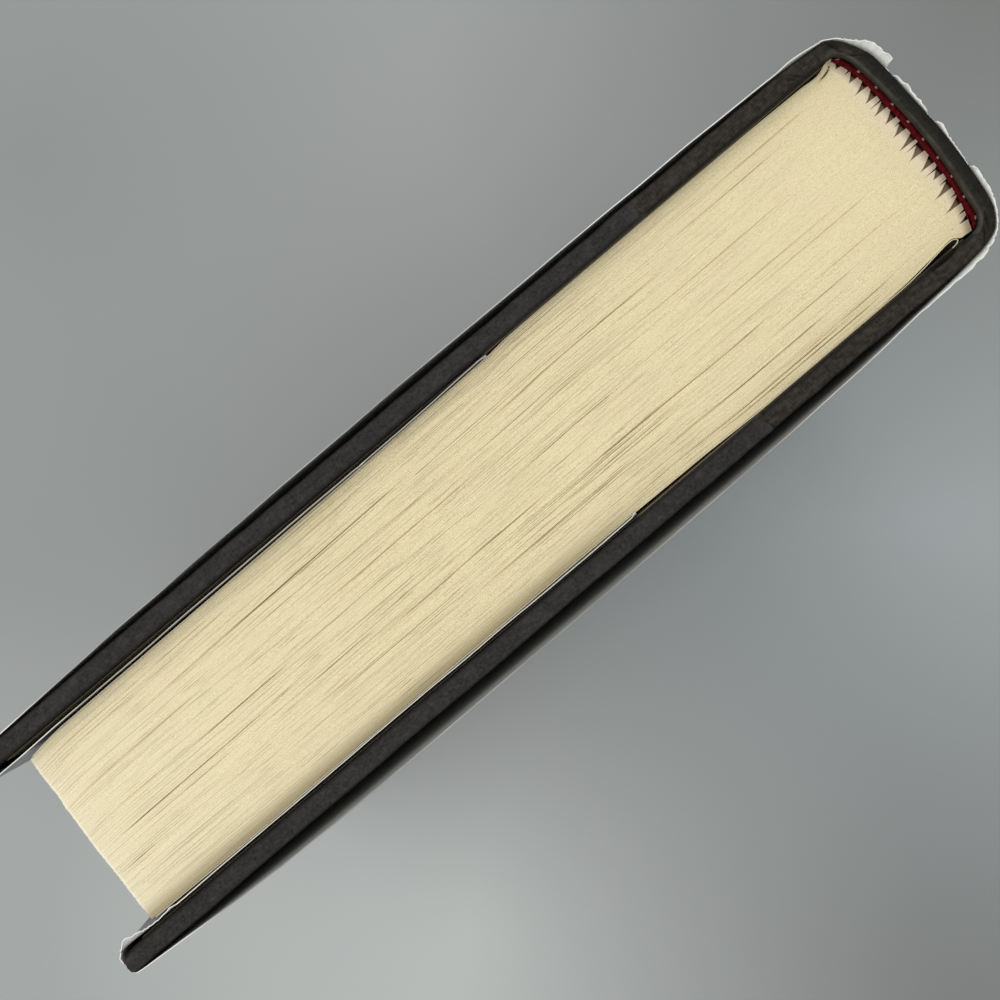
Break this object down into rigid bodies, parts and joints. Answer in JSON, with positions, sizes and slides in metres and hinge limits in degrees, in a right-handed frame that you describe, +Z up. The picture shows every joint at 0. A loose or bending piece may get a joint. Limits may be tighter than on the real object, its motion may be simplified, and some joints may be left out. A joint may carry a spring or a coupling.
{
  "type": "hardback book",
  "caption": "Closed hardback book standing on its tail: sewn page block with headbands, hinged covered boards, cloth spine and a paper dust jacket with flaps.",
  "frame": {"origin": "middle of the footprint, on the surface that the tail edges of the covers stand on", "axes": "+Z up to the head of the book, +X from the back to the fore-edge, +Y from the front cover to the rear cover"},
  "size_m": [0.1538, 0.0386, 0.2164],
  "materials": {
    "pages": "matte",
    "endpaper": "matte",
    "lining": "matte",
    "band": "matte",
    "board": "matte",
    "cloth": "matte",
    "side_paper": "matte",
    "jacket": "satin"
  },
  "bodies": {
    "book_block": {"text_block": "pages", "spine_lining": "lining", "headband": "band", "tailband": "band", "front_flyleaf": "endpaper", "rear_flyleaf": "endpaper", "spine_inlay": "board", "spine_cloth": "cloth", "jacket_spine": "jacket"},
    "front_cover": {"front_board": "board", "front_cloth_strip": "cloth", "front_side_paper": "side_paper", "front_pastedown": "endpaper", "jacket_front": "jacket"},
    "rear_cover": {"rear_board": "board", "rear_cloth_strip": "cloth", "rear_side_paper": "side_paper", "rear_pastedown": "endpaper", "jacket_rear": "jacket"}
  },
  "joints": [
    {"name": "front_cover_hinge", "type": "hinge", "parent": "book_block", "child": "front_cover", "pos_m": [-0.0724, -0.01798, 0.1082], "axis": [0, 0, -1], "range_deg": [0, 180]},
    {"name": "rear_cover_hinge", "type": "hinge", "parent": "book_block", "child": "rear_cover", "pos_m": [-0.07079, 0.01717, 0.1082], "axis": [0, 0, 1], "range_deg": [0, 180]}
  ]
}
